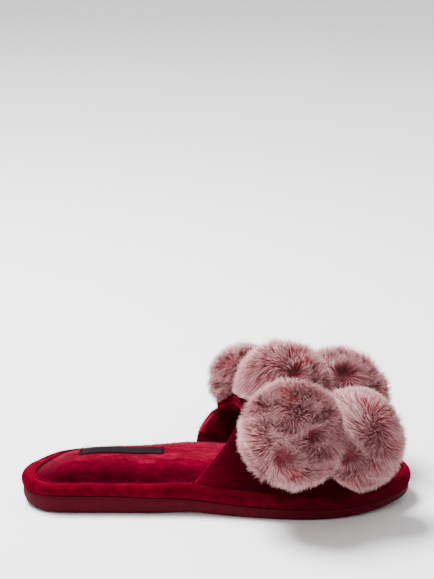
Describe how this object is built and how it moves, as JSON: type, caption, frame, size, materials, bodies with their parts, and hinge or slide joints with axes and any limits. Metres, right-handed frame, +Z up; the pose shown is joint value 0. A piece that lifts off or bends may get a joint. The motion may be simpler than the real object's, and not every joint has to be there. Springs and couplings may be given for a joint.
{
  "type": "pom pom slipper",
  "caption": "Open-back, open-toe house slipper with a rubber sole, velvet platform, puffed footbed, crossed padded straps and faux-fur pompoms.",
  "frame": {"origin": "on the floor, at the middle of the heel's flat tread", "axes": "+X along the sole towards the toe, +Y towards the outer side of the foot, +Z up"},
  "size_m": [0.26, 0.1713, 0.1098],
  "materials": {
    "burgundy_rubber": "matte burgundy rubber",
    "ruby_velvet": "short-pile ruby velvet",
    "ruby_plush": "soft ruby plush",
    "frosted_faux_fur": "dense faux fur, dusty pink with pale tips",
    "black_woven_tape": "black woven tape"
  },
  "bodies": {
    "root": {"outsole": "burgundy_rubber", "midsole": "ruby_velvet", "insole": "ruby_plush", "upper": "ruby_velvet", "label": "black_woven_tape", "pompom_inner_rear": "frosted_faux_fur", "pompom_inner_front": "frosted_faux_fur", "pompom_top": "frosted_faux_fur", "pompom_outer_rear": "frosted_faux_fur", "pompom_outer_front": "frosted_faux_fur"}
  },
  "joints": []
}
